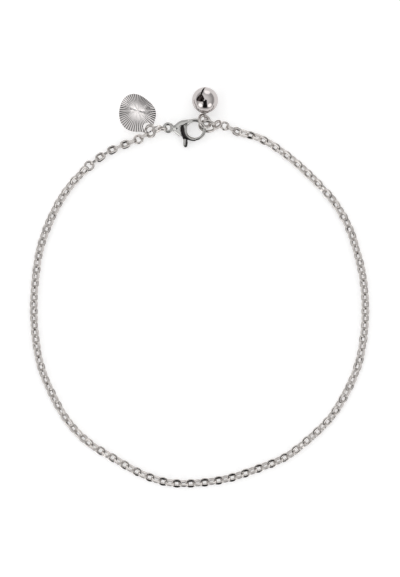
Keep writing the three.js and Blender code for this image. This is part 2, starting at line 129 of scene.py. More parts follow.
def unit(vectors):
    """Vectors divided by their own lengths."""
    return vectors / np.linalg.norm(vectors, axis=-1, keepdims=True)


def points_of(mesh):
    """A mesh's vertices as an array of points."""
    co = np.zeros(len(mesh.vertices) * 3)
    mesh.vertices.foreach_get("co", co)
    return co.reshape(-1, 3)


def move_points(piece, points):
    """Puts a piece's vertices at new points."""
    piece.data.vertices.foreach_set("co", points.ravel())
    piece.data.update()
    return piece


def new_piece(name, points, faces):
    """An object with a smooth mesh of points and faces."""
    mesh = bpy.data.meshes.new(name)
    mesh.from_pydata(points.tolist(), [], faces)
    mesh.polygons.foreach_set("use_smooth", np.ones(len(mesh.polygons), bool))
    mesh.update()
    piece = bpy.data.objects.new(name, mesh)
    bpy.context.scene.collection.objects.link(piece)
    return piece


def signed_volume(points, quads):
    """Six times the volume inside a quad mesh, negative when its faces point inwards."""
    a, b, c, d = (points[quads[:, k]] for k in range(4))
    return float((np.cross(a, b) * c).sum() + (np.cross(a, c) * d).sum())


def grid_surface(name, rings, looped):
    """A closed mesh from an array of shells x rings x points: each ring is joined to the next, and the
    last to the first when looped; otherwise each end ring is closed by a fan round its own middle."""
    shells, rows, columns = rings.shape[:3]
    points = rings.reshape(-1, 3)
    index = np.arange(len(points)).reshape(shells, rows, columns)
    here = index if looped else index[:, :-1]
    there = np.roll(index, -1, axis=1) if looped else index[:, 1:]
    quads = np.stack([here, np.roll(here, -1, 2), np.roll(there, -1, 2), there], axis=-1).reshape(-1, 4)
    turned = signed_volume(points, quads[: len(quads) // shells]) < 0
    if not looped:
        fans = []
        middles = []
        for end, flip in ((0, True), (-1, False)):
            centre = len(points) + len(middles) * shells + np.arange(shells)
            middles.append(rings[:, end].mean(axis=1))
            edge = index[:, end]
            following = np.roll(edge, -1, axis=1)
            pair = (following, edge) if flip else (edge, following)
            fan = np.stack([pair[0], pair[1], np.repeat(centre[:, None], columns, axis=1)], axis=-1)
            fans.append(fan.reshape(-1, 3))
        points = np.concatenate([points, *middles])
        caps = np.concatenate(fans)
    faces = quads[:, ::-1] if turned else quads
    faces = faces.tolist()
    if not looped:
        faces += (caps[:, ::-1] if turned else caps).tolist()
    return new_piece(name, points, faces)


def joined(name, pieces):
    """One mesh that holds several pieces' meshes as they are."""
    points, faces = [], []
    for piece in pieces:
        start = sum(len(p) for p in points)
        points.append(points_of(piece.data))
        faces += [[start + v for v in polygon.vertices] for polygon in piece.data.polygons]
        bpy.data.objects.remove(piece)
    return new_piece(name, np.concatenate(points), faces)


def bake_modifiers(piece):
    """Puts a piece's modifiers into its mesh."""
    bpy.context.view_layer.update()
    evaluated = piece.evaluated_get(bpy.context.evaluated_depsgraph_get())
    mesh = bpy.data.meshes.new_from_object(evaluated)
    piece.modifiers.clear()
    piece.data = mesh
    mesh.polygons.foreach_set("use_smooth", np.ones(len(mesh.polygons), bool))
    return piece


def fused(piece, grain, rounds):
    """Melts overlapping closed shells into one skin and evens it out, as casting and polishing do."""
    melt = piece.modifiers.new("melt", "REMESH")
    melt.mode = "VOXEL"
    melt.voxel_size = grain
    melt.use_smooth_shade = True
    even = piece.modifiers.new("even", "SMOOTH")
    even.factor = SMOOTHING
    even.iterations = rounds
    return bake_modifiers(piece)


def cut_out(piece, cutters):
    """Cuts other closed meshes out of a piece and welds the doubled points that cutting leaves."""
    for cutter in cutters:
        cut = piece.modifiers.new("cut", "BOOLEAN")
        cut.operation = "DIFFERENCE"
        cut.solver = "EXACT"
        cut.object = cutter
    weld = piece.modifiers.new("weld", "WELD")
    weld.merge_threshold = WELD_REACH
    bake_modifiers(piece)
    for cutter in cutters:
        bpy.data.objects.remove(cutter)
    return piece


def crease_edges(piece, degrees):
    """Smooth shading apart from edges sharper than an angle."""
    piece.data.set_sharp_from_angle(angle=math.radians(degrees))


def dressed(piece, material, body=BODY, replaces=()):
    """Gives a piece its material, its body and the nodes it stands for."""
    piece.data.materials.clear()
    piece.data.materials.append(material)
    if replaces:
        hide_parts(*replaces)
    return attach(piece, body)


# Materials

# Cloudy finish: its grain, how much smoother and rougher it makes the metal, and how much darker
CLOUD = {"grain": 900.0, "detail": 4.0, "smoother": 0.7, "rougher": 1.5, "darker": 0.9}
# Polishing marks: their grain, stretch, turn in plan and depth
MARKS = {"grain": 2600.0, "detail": 3.0, "stretch": (1.0, 9.0, 1.0), "turn": (0.0, 0.0, 0.6),
         "depth": 0.02 * MM}
# Near black that painted shade mixes into a shaded piece's colour
PAINTED_SHADE_COLOUR = (0.03, 0.028, 0.027, 1)
# The pale floor: its brightness, glow and finish, and its half side, under face and upper face in metres
FLOOR = {"brightness": 0.8, "glow": 0.46, "roughness": 0.9, "specular": 0.1, "half": 1.5, "under": -0.01,
         "upper": -0.0001}


def shade(piece, shares):
    """Stores how much painted shade each point of a piece gets, from 0 to 1, for its material to read."""
    layer = piece.data.attributes.new("shade", "FLOAT", "POINT")
    layer.data.foreach_set("value", np.asarray(shares, np.float32))


def polished_steel(name, look, roughness, colour_name="wire_colour", shaded=False):
    """Bright metal whose roughness wanders a little, with fine polishing scratches and small dents;
    a shaded one gets painted shade, blackened where the piece's own shade attribute says so."""
    material = bpy.data.materials.new(name)
    material.use_nodes = True
    nodes, links = material.node_tree.nodes, material.node_tree.links
    shader = nodes["Principled BSDF"]
    shader.inputs["Metallic"].default_value = 1.0
    place = nodes.new("ShaderNodeTexCoord")
    cloud = nodes.new("ShaderNodeTexNoise")
    cloud.inputs["Scale"].default_value = CLOUD["grain"]
    cloud.inputs["Detail"].default_value = CLOUD["detail"]
    links.new(place.outputs["Object"], cloud.inputs["Vector"])
    spread = nodes.new("ShaderNodeMapRange")
    spread.inputs["To Min"].default_value = roughness * CLOUD["smoother"]
    spread.inputs["To Max"].default_value = roughness * CLOUD["rougher"]
    links.new(cloud.outputs["Fac"], spread.inputs["Value"])
    links.new(spread.outputs["Result"], shader.inputs["Roughness"])
    tint = nodes.new("ShaderNodeMix")
    tint.data_type = "RGBA"
    colour = getattr(look, colour_name)
    tint.inputs["A"].default_value = (*[c * CLOUD["darker"] for c in colour], 1)
    tint.inputs["B"].default_value = (*colour, 1)
    links.new(cloud.outputs["Fac"], tint.inputs["Factor"])
    colour_out = tint.outputs["Result"]
    if shaded:
        # Painted shade: the colour is mixed towards near black by the piece's shade attribute
        painted_shade = nodes.new("ShaderNodeAttribute")
        painted_shade.attribute_name = "shade"
        darken = nodes.new("ShaderNodeMix")
        darken.data_type = "RGBA"
        links.new(painted_shade.outputs["Fac"], darken.inputs["Factor"])
        links.new(colour_out, darken.inputs["A"])
        darken.inputs["B"].default_value = PAINTED_SHADE_COLOUR
        colour_out = darken.outputs["Result"]
    links.new(colour_out, shader.inputs["Base Color"])
    stretch = nodes.new("ShaderNodeMapping")
    stretch.inputs["Scale"].default_value = MARKS["stretch"]
    stretch.inputs["Rotation"].default_value = MARKS["turn"]
    links.new(place.outputs["Object"], stretch.inputs["Vector"])
    scratches = nodes.new("ShaderNodeTexNoise")
    scratches.inputs["Scale"].default_value = MARKS["grain"]
    scratches.inputs["Detail"].default_value = MARKS["detail"]
    links.new(stretch.outputs["Vector"], scratches.inputs["Vector"])
    bump = nodes.new("ShaderNodeBump")
    bump.inputs["Strength"].default_value = look.scratch_strength
    bump.inputs["Distance"].default_value = MARKS["depth"]
    links.new(scratches.outputs["Fac"], bump.inputs["Height"])
    links.new(bump.outputs["Normal"], shader.inputs["Normal"])
    return material


def plain_floor(name):
    """A matt pale surface, lit a little from below as a light table is."""
    material = bpy.data.materials.new(name)
    material.use_nodes = True
    shader = material.node_tree.nodes["Principled BSDF"]
    shader.inputs["Base Color"].default_value = (*[FLOOR["brightness"]] * 3, 1)
    shader.inputs["Roughness"].default_value = FLOOR["roughness"]
    shader.inputs["Specular IOR Level"].default_value = FLOOR["specular"]
    shader.inputs["Emission Color"].default_value = (1, 1, 1, 1)
    shader.inputs["Emission Strength"].default_value = FLOOR["glow"]
    return material


# Settings that a user would change


def colour_setting(name, description, default):
    """A colour that a user may change."""
    return bpy.props.FloatVectorProperty(
        name=name, description=description, default=default, size=3, subtype="COLOR")


def length_setting(name, description, default):
    """A size in metres that a user may change."""
    return bpy.props.FloatProperty(
        name=name, description=description, default=default, unit="LENGTH", precision=5)


class SteelLook(bpy.types.PropertyGroup):
    """Colours and polish of the metal."""

    wire_colour: colour_setting("Wire colour", "Colour of the chain and rings", (0.60, 0.57, 0.55))
    clasp_colour: colour_setting("Clasp colour", "Colour of the clasp", (0.50, 0.495, 0.48))
    charm_colour: colour_setting("Charm colour", "Colour of the sunray charm", (0.97, 0.93, 0.92))
    bell_colour: colour_setting("Bell colour", "Colour of the bell and its ball", (0.60, 0.56, 0.55))
    scratch_strength: bpy.props.FloatProperty(
        name="Scratches", description="Strength of the polishing marks", default=0.25,
        min=0.0, max=1.0, subtype="FACTOR")


class ChainSizes(bpy.types.PropertyGroup):
    """Sizes of the fine chain's links."""

    link_length: length_setting("Link length", "Outer length of a link", 2.55 * MM)
    link_width: length_setting("Link width", "Outer width of a link", 1.98 * MM)
    side_width: length_setting("Side width", "Width of the wire at a link's sides", 0.7 * MM)
    end_width: length_setting("End width", "Width of the wire at a link's ends", 0.62 * MM)
    link_height: length_setting("Link height", "Height of a link over its flat faces", 0.58 * MM)
    pitch: length_setting("Pitch", "Distance from one link's middle to the next", 1.61 * MM)


class ClaspSizes(bpy.types.PropertyGroup):
    """Sizes and place of the lobster clasp."""

    hook_place: bpy.props.FloatVectorProperty(
        name="Hook place", description="Middle of the hook's opening", size=3,
        default=(-1.13 * MM, 36.43 * MM, 1.2 * MM), subtype="TRANSLATION")
    heading: bpy.props.FloatProperty(
        name="Heading", description="Turn of the clasp in plan", default=math.radians(-4.4),
        subtype="ANGLE")
    thickness: length_setting("Thickness", "Height of the clasp's body", 2.4 * MM)
    slot: length_setting("Slot", "Height of the lever's slot", 1.27 * MM)


class CharmSizes(bpy.types.PropertyGroup):
    """Sizes of the sunray charm."""

    radius: length_setting("Radius", "Mean radius of the disc", 4.3 * MM)
    thickness: length_setting("Thickness", "Thickness of the disc", 0.5 * MM)
    flutes: bpy.props.IntProperty(
        name="Rays", description="Number of pressed rays", default=52, min=8)
    flute_depth: length_setting("Ray depth", "Depth of a ray at the edge", 0.13 * MM)
    hole: length_setting("Hole", "Diameter of the hole", 2.1 * MM)


class BellSizes(bpy.types.PropertyGroup):
    """Sizes of the jingle bell."""

    radius: length_setting("Radius", "Outer radius of the bell", 3.04 * MM)
    wall: length_setting("Wall", "Thickness of the bell's sheet", 0.3 * MM)
    slit: length_setting("Slit", "Width of the slit", 0.4 * MM)


# Rings and links

# Edges sharper than these angles in degrees stay sharp
CREASE = 40
CHARM_CREASE = 60
BELL_CREASE = 45


def node_points(node):
    """A node's distinct vertices."""
    return np.unique(np.round(points_of(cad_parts[node].data), POINT_DECIMALS), axis=0)


def loop_frame(node):
    """A flat loop's middle and its long, short and normal directions: the principal axes of its points."""
    points = node_points(node)
    centre = points.mean(axis=0)
    _, axes = np.linalg.eigh(np.cov((points - centre).T))
    forward, side = axes[:, 2], axes[:, 1]
    return centre, np.array([forward, side, np.cross(forward, side)])


def bent_loop(length, width, out, up, bend_steps):
    """The rings of a section bent round an oval of two half circles joined by straight runs. The first
    axis is the length and the second the width; out and up hold, for the sides and then for the ends,
    how far each point of the section lies inside the oval's edge and above its plane. A round loop has
    no straight runs, so the two rings at each of them are one."""
    half = np.linspace(0, math.pi, bend_steps + 1)
    if length == width:
        half = half[:-1]
    turned = np.concatenate([half, half + math.pi])
    shift = np.where(np.arange(len(turned)) < len(half), 1, -1) * (length - width) / 2
    level = np.zeros(len(turned))
    normal = np.stack([np.sin(turned), -np.cos(turned), level], axis=-1)
    edge = normal * width / 2 + np.stack([shift, level, level], axis=-1)
    ends = (np.sin(turned) ** 2)[:, None]
    inside = out[0] * (1 - ends) + out[1] * ends
    above = up[0] * (1 - ends) + up[1] * ends
    return edge[:, None, :] + inside[..., None] * normal[:, None, :] + above[..., None] * UP


def oval_wire(length, width, wire, bend_steps, around):
    """A round wire bent to an oval: its section is a circle that touches the oval's edge."""
    angle = np.arange(around) / around * TURN
    out = (np.cos(angle) - 1) * wire / 2
    up = np.sin(angle) * wire / 2
    return bent_loop(length, width, np.stack([out, out]), np.stack([up, up]), bend_steps)


def flat_link(sizes, bend_steps):
    """A link of rolled wire: flat faces above and below, a small outer bevel and a broad inner one,
    narrower round the ends, where the next links hang."""
    out = column(LINK_SECTION, "out") - 1
    up = column(LINK_SECTION, "up") * sizes.link_height / 2
    outs = np.stack([out * sizes.side_width, out * sizes.end_width]) / 2
    return bent_loop(sizes.link_length, sizes.link_width, outs, np.stack([up, up]), bend_steps)


class ANKLET_OT_wire_loops(bpy.types.Operator):
    """Bends each ring from round wire and each separate link from rolled wire, where its node lies"""

    bl_idname = "anklet.wire_loops"
    bl_label = "Links and rings"

    def execute(self, context):
        steel = polished_steel("ring_steel", context.scene.anklet_steel, POLISH["ring"])
        loops = []
        for row in RINGS:
            length, width, wire = (row[name] * MM for name in ("length", "width", "wire"))
            loops.append((row["node"], oval_wire(length, width, wire, RING_BEND_STEPS, RING_AROUND)))
        link = flat_link(context.scene.anklet_chain, LINK_BEND_STEPS)
        loops += [(node, link) for node in SINGLE_LINKS]
        for node, rings in loops:
            centre, axes = loop_frame(node)
            piece = grid_surface(node + "_wire", (rings @ axes + centre)[None], looped=True)
            crease_edges(piece, CREASE)
            dressed(piece, steel, replaces=[node])
        return {"FINISHED"}


# Fine chain

# How far below the node's top its upper edges may lie
EDGE_REACH = 0.01 * MM


def plan_angle(points):
    """The points' angles round the loop in degrees, from LOOP_START to a full turn later."""
    angle = np.degrees(np.arctan2(points[:, 1], points[:, 0]))
    return np.mod(angle - LOOP_START, FULL) + LOOP_START


def chain_line():
    """The chain's middle line: the pairs of points along the node's upper edges, in order round the
    loop, each pair as its midpoint; the ring and the link at its two ends complete it."""
    points = node_points("fine_chain")
    top = points[points[:, 2] > points[:, 2].max() - EDGE_REACH]
    top = top[np.argsort(plan_angle(top))]
    middles = (top[0::2] + top[1::2]) / 2
    first = loop_frame("sizing_ring")[0]
    last = loop_frame("tail_link_2")[0]
    middles[:, 2] = first[2]
    return np.concatenate([[first], middles, [last]])


def along_line(line, distances):
    """Points at distances along a line of points, between them in proportion."""
    steps = np.linalg.norm(np.diff(line, axis=0), axis=1)
    reached = np.concatenate([[0], np.cumsum(steps)])
    return np.stack([np.interp(distances, reached, line[:, k]) for k in range(3)], axis=-1)


def line_length(line):
    """The length of a line of points: the sum of the distances between them."""
    return float(np.linalg.norm(np.diff(line, axis=0), axis=1).sum())


def link_rolls(angle):
    """How far each link is rolled about the chain: the lean, plus and less the spread in turn, plus a
    random share of the wander, all read from the table at the link's plan angle."""
    lean, spread, wander = (
        np.interp(angle, column(CHAIN_LIE, "angle"), column(CHAIN_LIE, name))
        for name in ("lean", "spread", "wander"))
    sign = np.where(np.arange(len(angle)) % 2, 1, -1)
    drawn = np.random.default_rng(WANDER_SEED).normal(0, 1, len(angle))
    return np.radians(lean + sign * spread + drawn * wander)


class ANKLET_OT_fine_chain(bpy.types.Operator):
    """Links the long stretch of fine chain, each link rolled against the last"""

    bl_idname = "anklet.fine_chain"
    bl_label = "Fine chain"

    def execute(self, context):
        sizes = context.scene.anklet_chain
        line = chain_line()
        length = line_length(line)
        count = round(length / sizes.pitch) - 1
        distance = np.arange(1, count + 1) * length / (count + 1)
        centre = along_line(line, distance)
        forward = unit(along_line(line, distance + sizes.pitch) - along_line(line, distance - sizes.pitch))
        roll = link_rolls(plan_angle(centre))[:, None]
        level = unit(np.cross(UP, forward))
        side = level * np.cos(roll) + np.cross(forward, level) * np.sin(roll)
        axes = np.stack([forward, side, np.cross(forward, side)], axis=1)
        rings = flat_link(sizes, FINE_BEND_STEPS)
        shells = np.einsum("rck,nkj->nrcj", rings, axes) + centre[:, None, None, :]
        piece = grid_surface("fine_chain_links", shells, looped=True)
        crease_edges(piece, CREASE)
        steel = polished_steel("chain_steel", context.scene.anklet_steel, POLISH["chain"])
        dressed(piece, steel, replaces=["fine_chain"])
        return {"FINISHED"}


# Lobster clasp, worked out in its own frame: the middle of the hook's opening is the origin,
# the eye lies on -X, the back of the clasp is +Y and the lever's tab points to -Y

EYE = {"place": (-6.2 * MM, 0, 0), "radius": 0.9 * MM, "half_width": 0.4 * MM, "half_height": 0.45 * MM}
# The neck from the eye to the plates, in millimetres
NECK = {
    "along": [-5.25, -4.4],
    "across": [-0.02, 0.1],
    "half_width": [0.42, 0.7],
    "half_height": [0.42, 0.8],
}
NECK_STEPS = 20
# Outline of the clasp's side plates, along and across
PLATE_OUTLINE = np.array([
    (-5.15, 0.45), (-4.6, 0.95), (-4.05, 1.5), (-3.3, 1.95), (-2.3, 2.2), (-1.35, 2.36), (-0.75, 2.2),
    (-0.95, 1.62), (-1.5, 1.2), (-2.05, 0.95), (-2.75, 0.85), (-3.25, 0.2), (-3.02, -1.25),
    (-2.72, -2.25), (-3.2, -2.1), (-3.7, -1.78), (-4.6, -1.1), (-5.15, -0.55),
]) * MM
PLATE_MIDDLE = np.array([-3.6, 0.55]) * MM
PLATE_STEPS = 160
# How square the plates' edge is, and their height at the neck as a share of the whole
PLATE_POWER = 2.6
PLATE_TAPER = 0.5
# Outline of the slot that the lever turns in, open to the front, along and across
SLOT_OUTLINE = np.array([
    (-3.45, 0.0), (-3.4, 1.1), (-3.1, 1.7), (-2.4, 1.85), (-1.75, 1.65), (-1.3, 1.1), (0.0, 0.0),
    (-0.5, -4.0), (-3.45, -4.0),
]) * MM
# The hook and its spine: angle round the opening, then radius of the middle, half width and half height
HOOK_SECTIONS = {
    "angle": [158, 135, 110, 80, 40, 0, -40, -83],
    "radius": [2.2, 2.2, 2.2, 2.17, 2.15, 2.15, 2.15, 2.15],
    "half_width": [0.3, 0.42, 0.42, 0.41, 0.41, 0.4, 0.4, 0.37],
    "half_height": [0.85, 0.82, 0.72, 0.66, 0.63, 0.62, 0.6, 0.56],
}
HOOK_STEPS = 90
HOOK_POWER = 2.8
# The lever's arm from the hub to the tip and its thumb tab, in millimetres
LEVER_ARM = {
    "along": [-2.42, -2.58, -2.6, -2.42, -2.02, -1.4, -0.7, 0.1],
    "across": [1.1, 0.4, -0.3, -0.95, -1.55, -1.93, -2.16, -2.24],
    "half_width": [0.6, 0.72, 0.74, 0.72, 0.66, 0.52, 0.44, 0.42],
}
LEVER_TAB = {
    "along": [-2.2, -2.1, -2.02, -1.98, -1.97],
    "across": [-1.6, -2.2, -2.75, -3.3, -3.75],
    "half_width": [0.7, 0.58, 0.52, 0.55, 0.5],
}
# How square each part's section is, and by what share its left side slopes down
LEVER_PARTS = [
    {"name": "arm", "table": LEVER_ARM, "power": 5.0, "slope": 0.55},
    {"name": "tab", "table": LEVER_TAB, "power": 3.4, "slope": 0.2},
]
LEVER_STEPS = 60
LEVER_EASE = 0.98
LEVER_HALF_HEIGHT = 0.475 * MM
# How finely each casting is melted together, and how often it is evened out
BODY_GRAIN = 0.05 * MM
BODY_ROUNDS = 10
LEVER_GRAIN = 0.045 * MM
LEVER_ROUNDS = 6
# The rings of a rounded end and of a cushion, the share of a quarter turn that each runs through, and
# where across a section its slope starts
DOME_STEPS = 5
DOME_REACH = 0.96
SLOPE_START = -0.15
PILLOW_STEPS = 25
PILLOW_REACH = 0.98
# Painted shade on the lever, standing in for the shadowed gap beside the plates: the lever is bright
# within a radius of the opening's middle, which grows towards the clasp's back, and below the tab's top
# on the left of the tab's middle, and painted dark beyond
ARM_LIGHT = 2.3 * MM
ARM_LIGHT_GAIN = 0.5
TAB_MIDDLE = -2.05 * MM
TAB_TOP = -2.35 * MM
SHADE_SOFT = 0.2 * MM


def plan_line(table):
    """A table's places as level points in metres."""
    along, across = column(table, "along"), column(table, "across")
    return np.stack([along, across, np.zeros(len(along))], axis=-1) * MM


def curve_point(a, b, c, d, t):
    """The Catmull-Rom curve through four values, at a share of the way from the second to the third."""
    return 0.5 * (2 * b + (c - a) * t + (2 * a - 5 * b + 4 * c - d) * t**2 + (3 * b - a - 3 * c + d) * t**3)


def smooth_run(values, count):
    """Values along a Catmull-Rom curve through given ones, at evenly spaced shares of it."""
    padded = np.concatenate([[2 * values[0] - values[1]], values, [2 * values[-1] - values[-2]]])
    share = np.linspace(0, len(values) - 1, count)
    first = np.minimum(share.astype(int), len(values) - 2)
    t = share - first
    if values.ndim > 1:
        t = t[:, None]
    return curve_point(*(padded[first + k] for k in range(4)), t)


def closed_run(points, count):
    """Points along a closed Catmull-Rom curve through given ones."""
    share = np.arange(count) / count * len(points)
    first = share.astype(int)
    t = (share - first)[:, None]
    return curve_point(*(points[(first + k - 1) % len(points)] for k in range(4)), t)


def superellipse(angle, power):
    """The two signed coordinates of a rounded square at an angle: the cosine and the sine, each raised
    to two over the power."""
    return tuple(np.sign(wave) * np.abs(wave) ** (2 / power) for wave in (np.cos(angle), np.sin(angle)))


def rounded_sweep(name, line, half_width, half_height, around=36, power=2.0, slope=0.0):
    """A rounded section carried along a level line: its sideways half is half_width and its upright
    half is half_height, both falling to nothing over one half width at each end, as a dome. With a
    slope the left side of the section is lower by that share, from about its middle outwards."""
    forward = unit(np.gradient(line, axis=0))
    side = np.stack([-forward[:, 1], forward[:, 0], np.zeros(len(line))], axis=-1)
    angle = np.arange(around) / around * TURN
    sideways, upwards = superellipse(angle, power)
    upwards = upwards * (1 - slope * np.clip(sideways - SLOPE_START, 0, 1))
    dome = np.linspace(QUARTER * DOME_REACH, 0, DOME_STEPS + 1)[:-1]
    start = line[0] - forward[0] * (np.sin(dome) * half_width[0])[:, None]
    end = line[-1] + forward[-1] * (np.sin(dome[::-1]) * half_width[-1])[:, None]
    centres = np.concatenate([start, line, end])
    share = np.concatenate([np.cos(dome), np.ones(len(line)), np.cos(dome[::-1])])
    wide = np.pad(half_width, DOME_STEPS, "edge") * share
    high = np.pad(half_height, DOME_STEPS, "edge") * share
    sides = np.pad(side, ((DOME_STEPS, DOME_STEPS), (0, 0)), "edge")
    rings = centres[:, None, :] + sides[:, None, :] * (wide[:, None] * sideways)[..., None]
    rings = rings + UP * (high[:, None] * upwards)[..., None]
    return grid_surface(name, rings[None], looped=False)


def pillow(name, outline, middle, half_height, power, taper):
    """A cushion-shaped solid over an outline: each ring is the outline drawn towards the middle, and
    its height follows a rounded profile from the top, over the edge, to the underside. The height
    falls in proportion along X, to the taper's share of the whole at the outline's lowest X."""
    reach = QUARTER * PILLOW_REACH
    share, height = superellipse(np.linspace(-reach, reach, PILLOW_STEPS), power)
    plan = middle + share[:, None, None] * (outline - middle)
    first, last = outline[:, 0].min(), outline[:, 0].max()
    share = taper + (1 - taper) * (plan[..., 0] - first) / (last - first)
    rings = np.concatenate([plan, (half_height * height[:, None] * share)[..., None]], axis=-1)
    return grid_surface(name, rings[None], looped=False)


def block(name, corners, low, high):
    """An upright prism over a plan outline."""
    plan = np.array(corners, float)
    rings = np.stack([np.column_stack([plan, np.full(len(plan), z)]) for z in (low, high)])
    return grid_surface(name, rings[None], looped=False)


def torus(name, centre, radius, half_width, half_height, steps=48, around=20):
    """A level ring of oval section round a centre."""
    turn = np.arange(steps) / steps * TURN
    angle = np.arange(around) / around * TURN
    out = radius + half_width * np.cos(angle)
    x = np.cos(turn)[:, None] * out + centre[0]
    y = np.sin(turn)[:, None] * out + centre[1]
    z = np.broadcast_to(half_height * np.sin(angle) + centre[2], x.shape)
    return grid_surface(name, np.stack([x, y, z], axis=-1)[None], looped=True)


def place_clasp(piece, sizes):
    """Moves a mesh from the clasp's own frame to its place."""
    turned = points_of(piece.data) @ rotation(UP, sizes.heading).T
    return move_points(piece, turned + np.array(sizes.hook_place))


def clasp_body(sizes):
    """Side plates, neck and eye, and the hook, melted into one casting, with the lever's slot cut."""
    outline = closed_run(PLATE_OUTLINE, PLATE_STEPS)
    plates = pillow("plates", outline, PLATE_MIDDLE, sizes.thickness / 2, PLATE_POWER, PLATE_TAPER)
    angle, radius, wide, high = (
        smooth_run(column(HOOK_SECTIONS, name), HOOK_STEPS)
        for name in ("angle", "radius", "half_width", "half_height"))
    angle, radius = np.radians(angle), radius * MM
    line = np.stack([radius * np.cos(angle), radius * np.sin(angle), np.zeros(HOOK_STEPS)], axis=-1)
    hook = rounded_sweep("hook", line, wide * MM, high * MM, power=HOOK_POWER)
    eye = torus("eye", EYE["place"], EYE["radius"], EYE["half_width"], EYE["half_height"])
    neck_line = np.linspace(*plan_line(NECK), NECK_STEPS)
    neck_wide, neck_high = (
        np.linspace(*column(NECK, name), NECK_STEPS) * MM for name in ("half_width", "half_height"))
    neck = rounded_sweep("neck", neck_line, neck_wide, neck_high)
    body = fused(joined("clasp_body_cast", [plates, hook, eye, neck]), BODY_GRAIN, BODY_ROUNDS)
    slot = block("slot", SLOT_OUTLINE, -sizes.slot / 2, sizes.slot / 2)
    return cut_out(body, [slot])


def clasp_lever():
    """The lever's hub, arm and tip with the thumb tab, melted into one casting."""
    parts = []
    high = np.full(LEVER_STEPS, LEVER_HALF_HEIGHT)
    for part in LEVER_PARTS:
        line = smooth_run(plan_line(part["table"]), LEVER_STEPS)
        wide = smooth_run(column(part["table"], "half_width"), LEVER_STEPS) * MM * LEVER_EASE
        parts.append(
            rounded_sweep(part["name"], line, wide, high, power=part["power"], slope=part["slope"]))
    lever = fused(joined("clasp_lever_cast", parts), LEVER_GRAIN, LEVER_ROUNDS)
    # Painted shade: the arm darkens outside the bright radius, and the tab to the right of its middle
    x, y, _ = points_of(lever.data).T
    outside = np.hypot(x, y) - ARM_LIGHT - ARM_LIGHT_GAIN * np.clip(y, 0, MM)
    arm = np.clip(outside / SHADE_SOFT, 0, 1)
    tab = np.clip((x - TAB_MIDDLE) / SHADE_SOFT, 0, 1)
    shade(lever, np.where(y > TAB_TOP, arm, tab))
    return lever


class ANKLET_OT_clasp(bpy.types.Operator):
    """Casts the lobster clasp: the body with its eye and hook, and the spring lever"""

    bl_idname = "anklet.clasp"
    bl_label = "Lobster clasp"

    def execute(self, context):
        sizes = context.scene.anklet_clasp
        look = context.scene.anklet_steel
        steel = polished_steel("clasp_steel", look, POLISH["clasp"], "clasp_colour")
        body = place_clasp(clasp_body(sizes), sizes)
        crease_edges(body, CREASE)
        dressed(body, steel, replaces=["clasp_body"])
        lever = place_clasp(clasp_lever(), sizes)
        # The lever's material blackens it with painted shade where its shade attribute says so
        dark_steel = polished_steel("lever_steel", look, POLISH["clasp"], "clasp_colour", shaded=True)
        dressed(lever, dark_steel, body=LEVER_BODY, replaces=["clasp_lever"])
        return {"FINISHED"}


# Sunray charm, in its own frame: the rays meet at the origin and the hole lies on -X

# The outline's waves: how many go round, their height as a share of the radius, and where each is
# highest, in degrees
CHARM_WAVES = [
    {"times": 1, "share": 0.133, "turn": 128},
    {"times": 2, "share": 0.036, "turn": -5},
    {"times": 3, "share": 0.049, "turn": -7},
]
# How far out the hole lies, the metal beyond it, how narrow the ear is, and how far the disc bulges
CHARM_HOLE_OUT = 4.48 * MM
CHARM_RIM = 0.35 * MM
EAR_SHARPNESS = 24
CROWN = 0.05 * MM
# The disc's points across each ray, and its rings from the first share of the radius to the last
RAY_STEPS = 10
DISC = {"first": 0.004, "last": 0.985, "steps": 50}
# Where the rays begin, and over what share of the radius they deepen
RAY_START = 0.16
RAY_RISE = 0.34
# The broad petals: their number, their sway from side to side, and how deep and far out they go
PETALS = 9
PETAL_SWAY = 1.2
PETAL_DEPTH = 0.1 * MM
PETAL_REACH = 0.75
# The rounded rim, as shares of the radius and of the edge's height, and the flat underside's rings
RIM_SECTION = {
    "out": [0.997, 1.0, 0.997, 0.985],
    "up": [0.75, 0.45, 0.1, 0.0],
}
UNDERSIDE = [0.7, 0.3, 0.004]
# Painted shade in the rays' grooves, stronger on one side of the disc: how strongly the grooves are
# darkened round the disc, how narrow the dark line is, and where along the radius it begins and over
# what share it deepens
GROOVE_SHADE = {"mean": 0.94, "swing": 0.06, "turn": -110, "power": 0.95, "start": 0.2, "rise": 0.4}
# How the charm lies, in degrees
CHARM_HEADING = 121.8
CHARM_CLIMB = -6.9
CHARM_ROLL = 8.6
# How many of the disc's thicknesses the hole's cutter reaches up and down
HOLE_REACH = 3


def laid_axes(heading, climb, roll):
    """The three directions of a piece laid along a heading and climb and rolled about that length."""
    h, c, r = (math.radians(a) for a in (heading, climb, roll))
    forward = np.array([math.cos(h) * math.cos(c), math.sin(h) * math.cos(c), math.sin(c)])
    level = np.array([-math.sin(h), math.cos(h), 0])
    side = level * math.cos(r) + np.cross(forward, level) * math.sin(r)
    return np.array([forward, side, np.cross(forward, side)])


def waved_share(angle):
    """The outline's radius as a share: one, plus waves once, twice and three times round."""
    share = np.ones_like(angle)
    for wave in CHARM_WAVES:
        share = share + wave["share"] * np.cos(wave["times"] * (angle - math.radians(wave["turn"])))
    return share


def charm_share(angle, sizes):
    """The waved outline with an ear that leaves a rim of metal beyond the hole."""
    reach = (CHARM_HOLE_OUT + sizes.hole / 2 + CHARM_RIM) / sizes.radius
    ear = reach - float(waved_share(np.array([math.pi]))[0])
    return waved_share(angle) + ear * np.maximum(0, -np.cos(angle)) ** EAR_SHARPNESS


def zigzag(angle):
    """A wave of straight flanks between 0 and 1 with the period of the cosine: its arc cosine."""
    return np.arccos(np.cos(angle)) / math.pi


